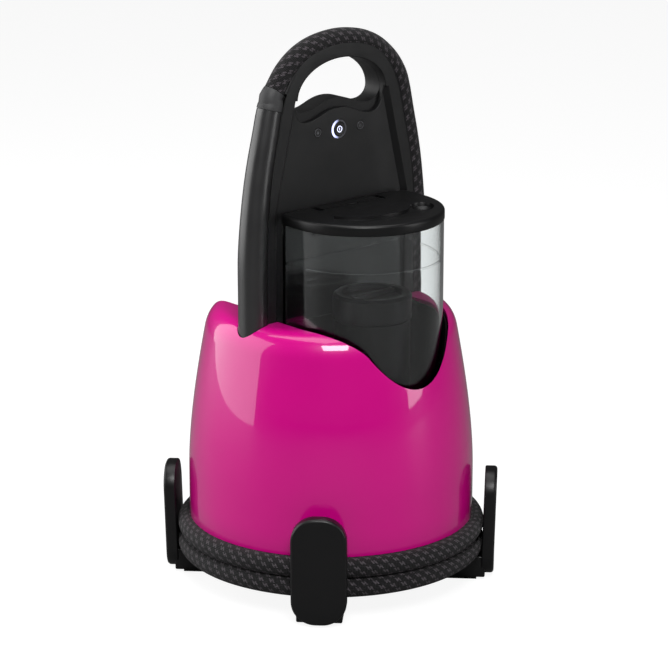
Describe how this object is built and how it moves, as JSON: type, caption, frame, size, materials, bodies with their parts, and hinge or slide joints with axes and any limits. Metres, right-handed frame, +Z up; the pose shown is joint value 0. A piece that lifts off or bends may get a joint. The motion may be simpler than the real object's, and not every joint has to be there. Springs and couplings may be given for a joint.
{
  "type": "garment steam generator",
  "caption": "Round steam generator for garments: front water tank, tall carrying handle with control panel, steam head docked at the back, and a hose wound round its base on hooks.",
  "frame": {"origin": "on the floor, below the axis of the round body", "axes": "+Z up, -Y to the front with the tank and the control panel, +X to the right as seen from behind the camera in a front view"},
  "size_m": [0.2425, 0.2601, 0.4203],
  "materials": {
    "shell_paint": "glossy lacquered plastic",
    "black_satin": "satin black plastic",
    "black_soft": "fine textured black plastic",
    "grey_plastic": "matte dark grey plastic",
    "clear_tank": "clear polycarbonate",
    "light_guide": "translucent white light guide",
    "rubber": "matt rubber",
    "hose_braid": "braided textile sleeve over silicone",
    "silicone": "silicone",
    "steel": "pressed stainless steel",
    "sole": "polished aluminium",
    "brass": "turned brass",
    "board": "circuit board"
  },
  "bodies": {
    "machine": {"outer_shell": "shell_paint", "base_pan": "black_soft", "base_screw_1": "steel", "base_screw_2": "steel", "base_screw_3": "steel", "base_screw_4": "steel", "hose_hook_front_left": "black_satin", "hose_hook_front_right": "black_satin", "hose_hook_rear_left": "black_satin", "hose_hook_rear_right": "black_satin", "foot_pad_front_left": "rubber", "foot_pad_front_right": "rubber", "foot_pad_rear_left": "rubber", "foot_pad_rear_right": "rubber", "tank_well": "black_soft", "valve_socket": "black_soft", "column_front": "black_soft", "column_rear": "black_soft", "hose_leg": "black_satin", "hose_collar": "grey_plastic", "power_ring": "light_guide", "water_light": "grey_plastic", "filter_light": "grey_plastic", "control_board": "board", "boiler": "steel", "boiler_bracket": "steel", "heating_element": "steel", "thermostat": "steel", "safety_valve": "brass", "steam_valve": "brass", "water_pump": "grey_plastic", "power_board": "board", "suction_tube": "silicone", "feed_tube": "silicone", "steam_tube": "silicone", "head_dock": "black_soft", "mains_gland": "rubber", "hose_run": "hose_braid", "hose_winding": "hose_braid", "hose_tail": "hose_braid"},
    "tank": {"water_tank": "clear_tank", "scale_filter": "black_soft", "tank_valve": "grey_plastic", "lid_hinge_pin": "steel"},
    "lid": {"tank_lid": "black_satin"},
    "button": {"power_button": "black_satin"},
    "cap": {"drain_cap": "grey_plastic"},
    "head": {"soleplate": "sole", "head_body": "black_satin", "head_handle": "black_soft", "head_heel": "rubber", "hose_boot": "rubber"},
    "trigger": {"steam_trigger": "grey_plastic"}
  },
  "joints": [
    {"name": "tank_lift", "type": "slide", "parent": "machine", "child": "tank", "axis": [0, 0, 1], "range_m": [0, 0.16]},
    {"name": "lid_turn", "type": "hinge", "parent": "tank", "child": "lid", "pos_m": [0, -0.0176, 0.28855], "axis": [-1, 0, 0], "range_deg": [0, 88]},
    {"name": "power_press", "type": "slide", "parent": "machine", "child": "button", "axis": [0, 1, 0], "range_m": [0, 0.0008], "stiffness_N_per_m": 1500},
    {"name": "cap_turn", "type": "hinge", "parent": "machine", "child": "cap", "pos_m": [0, -0.0425, 0.019], "axis": [0, 0, 1], "range_deg": [0, 180]},
    {"name": "head_lift", "type": "slide", "parent": "machine", "child": "head", "axis": [0, 0, 1], "range_m": [0, 0.125]},
    {"name": "trigger_press", "type": "slide", "parent": "head", "child": "trigger", "axis": [0, 1, 0], "range_m": [0, 0.003], "stiffness_N_per_m": 800}
  ]
}
